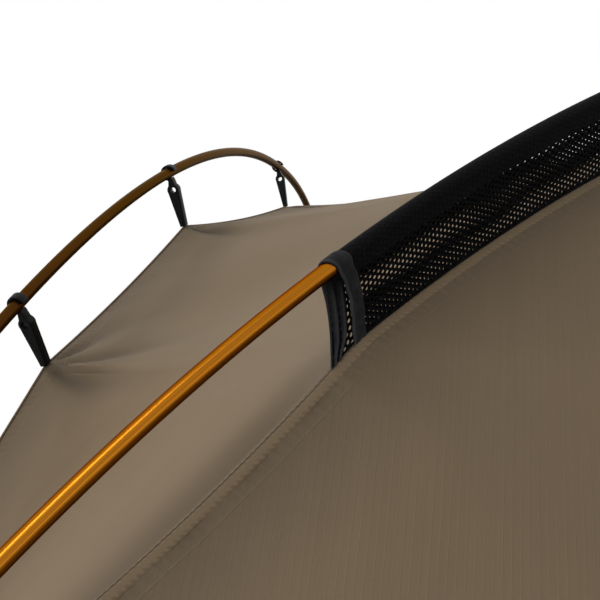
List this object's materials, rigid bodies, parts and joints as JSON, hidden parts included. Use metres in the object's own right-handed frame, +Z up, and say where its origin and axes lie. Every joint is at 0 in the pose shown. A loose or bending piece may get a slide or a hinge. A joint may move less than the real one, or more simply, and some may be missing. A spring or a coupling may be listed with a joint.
{
  "type": "family tent",
  "caption": "Dome tent with crossing ridge poles in mesh sleeves, clipped hoop poles front and rear, a zipped arch door, a mesh window with a hinged flap, and stake tabs",
  "frame": {"origin": "on the ground, under the crown where the ridge poles cross", "axes": "+Z up, the door faces -Y, +X to the right of someone who looks at the door"},
  "size_m": [2.994, 3.21, 1.8678],
  "materials": {
    "anodised_aluminium": "orange anodised, satin",
    "black_plastic": "moulded, matte",
    "zip_coil": "woven tape and moulded coil",
    "zip_metal": "die-cast, dark plated",
    "black_mesh": "open knitted mesh",
    "binding_tape": "woven tape",
    "tent_fabric": "ripstop weave, matte",
    "floor_fabric": "coated oxford weave"
  },
  "bodies": {
    "tent": {"ridge_pole_a_crown": "anodised_aluminium", "ridge_pole_a_leg_front_right": "anodised_aluminium", "ridge_pole_a_leg_rear_left": "anodised_aluminium", "ridge_pole_b_crown": "anodised_aluminium", "ridge_pole_b_leg_front_left": "anodised_aluminium", "ridge_pole_b_leg_rear_right": "anodised_aluminium", "front_hoop_section_left": "anodised_aluminium", "front_hoop_section_right": "anodised_aluminium", "rear_hoop_section_left": "anodised_aluminium", "rear_hoop_section_right": "anodised_aluminium", "ridge_pole_a_tip_front_right": "black_plastic", "ridge_pole_a_tip_rear_left": "black_plastic", "ridge_pole_b_tip_front_left": "black_plastic", "ridge_pole_b_tip_rear_right": "black_plastic", "front_hoop_tip_left": "black_plastic", "front_hoop_tip_right": "black_plastic", "rear_hoop_tip_left": "black_plastic", "rear_hoop_tip_right": "black_plastic", "mesh_sleeve_front_right": "black_mesh", "mesh_sleeve_front_left": "black_mesh", "mesh_sleeve_rear_right": "black_mesh", "mesh_sleeve_rear_left": "black_mesh", "sleeve_binding_front_right": "binding_tape", "sleeve_binding_front_left": "binding_tape", "sleeve_binding_rear_right": "binding_tape", "sleeve_binding_rear_left": "binding_tape", "corner_tab_front_right": "binding_tape", "corner_tab_front_left": "binding_tape", "corner_tab_rear_right": "binding_tape", "corner_tab_rear_left": "binding_tape", "leg_clips_front_right": "black_plastic", "leg_clips_front_left": "black_plastic", "leg_clips_rear_right": "black_plastic", "leg_clips_rear_left": "black_plastic", "front_roof": "tent_fabric", "rear_roof": "tent_fabric", "left_wall": "tent_fabric", "right_wall": "tent_fabric", "front_wall": "tent_fabric", "rear_wall": "tent_fabric", "rear_hoop_clips": "black_plastic", "front_hoop_clips_right": "black_plastic", "front_hoop_clips_left": "black_plastic", "groundsheet": "floor_fabric", "crown_patch": "floor_fabric", "window_mesh": "black_mesh", "wall_zip_half": "zip_coil"},
    "door": {"door": "tent_fabric", "door_zip_half": "zip_coil"},
    "upper_slider": {"zip_slider_upper": "zip_metal"},
    "lower_slider": {"zip_slider_lower": "zip_metal"},
    "upper_pull": {"zip_pull_upper": "black_plastic"},
    "lower_pull": {"zip_pull_lower": "black_plastic"},
    "window_flap": {"window_flap": "tent_fabric"},
    "hoop_clip_right_low": {"hoop_clip_right_low": "black_plastic"},
    "hoop_clip_right_high": {"hoop_clip_right_high": "black_plastic"},
    "hoop_clip_top": {"hoop_clip_top": "black_plastic"},
    "hoop_clip_left_high": {"hoop_clip_left_high": "black_plastic"},
    "hoop_clip_left_low": {"hoop_clip_left_low": "black_plastic"}
  },
  "joints": [
    {"name": "door_hinge", "type": "hinge", "parent": "tent", "child": "door", "pos_m": [-0.4, -1.44968, 0.18861], "axis": [0, -0.2411, -0.9705], "range_deg": [0, 110]},
    {"name": "upper_slider_travel", "type": "hinge", "parent": "door", "child": "upper_slider", "pos_m": [0, -1.26162, 0.9456], "axis": [0, -0.9705, 0.2411], "range_deg": [-8, 140]},
    {"name": "lower_slider_travel", "type": "slide", "parent": "door", "child": "lower_slider", "axis": [0, -0.2411, -0.9705], "range_m": [-0.06, 0.6]},
    {"name": "upper_pull_hinge", "type": "hinge", "parent": "upper_slider", "child": "upper_pull", "pos_m": [0.38812, -1.243, 1.04068], "axis": [-0.9703, -0.0583, -0.2348], "range_deg": [0, 150]},
    {"name": "lower_pull_hinge", "type": "hinge", "parent": "lower_slider", "child": "lower_pull", "pos_m": [0.4, -1.28803, 0.85942], "axis": [-1, 0, 0], "range_deg": [0, 150]},
    {"name": "window_flap_hinge", "type": "hinge", "parent": "tent", "child": "window_flap", "pos_m": [0, 1.23212, 1.07222], "axis": [1, 0, 0], "range_deg": [0, 150]},
    {"name": "hoop_clip_right_low_rock", "type": "hinge", "parent": "tent", "child": "hoop_clip_right_low", "pos_m": [0.73505, -1.1342, 1.55293], "axis": [-0.8405, 0.1306, 0.5258], "range_deg": [-10, 10]},
    {"name": "hoop_clip_right_high_rock", "type": "hinge", "parent": "tent", "child": "hoop_clip_right_high", "pos_m": [0.45229, -1.10116, 1.68593], "axis": [-0.9464, 0.0779, 0.3134], "range_deg": [-10, 10]},
    {"name": "hoop_clip_top_rock", "type": "hinge", "parent": "tent", "child": "hoop_clip_top", "pos_m": [0, -1.084, 1.755], "axis": [-1, 0, 0], "range_deg": [-10, 10]},
    {"name": "hoop_clip_left_high_rock", "type": "hinge", "parent": "tent", "child": "hoop_clip_left_high", "pos_m": [-0.45229, -1.10116, 1.68593], "axis": [-0.9464, -0.0779, -0.3134], "range_deg": [-10, 10]},
    {"name": "hoop_clip_left_low_rock", "type": "hinge", "parent": "tent", "child": "hoop_clip_left_low", "pos_m": [-0.73505, -1.1342, 1.55293], "axis": [-0.8405, -0.1306, -0.5258], "range_deg": [-10, 10]}
  ]
}
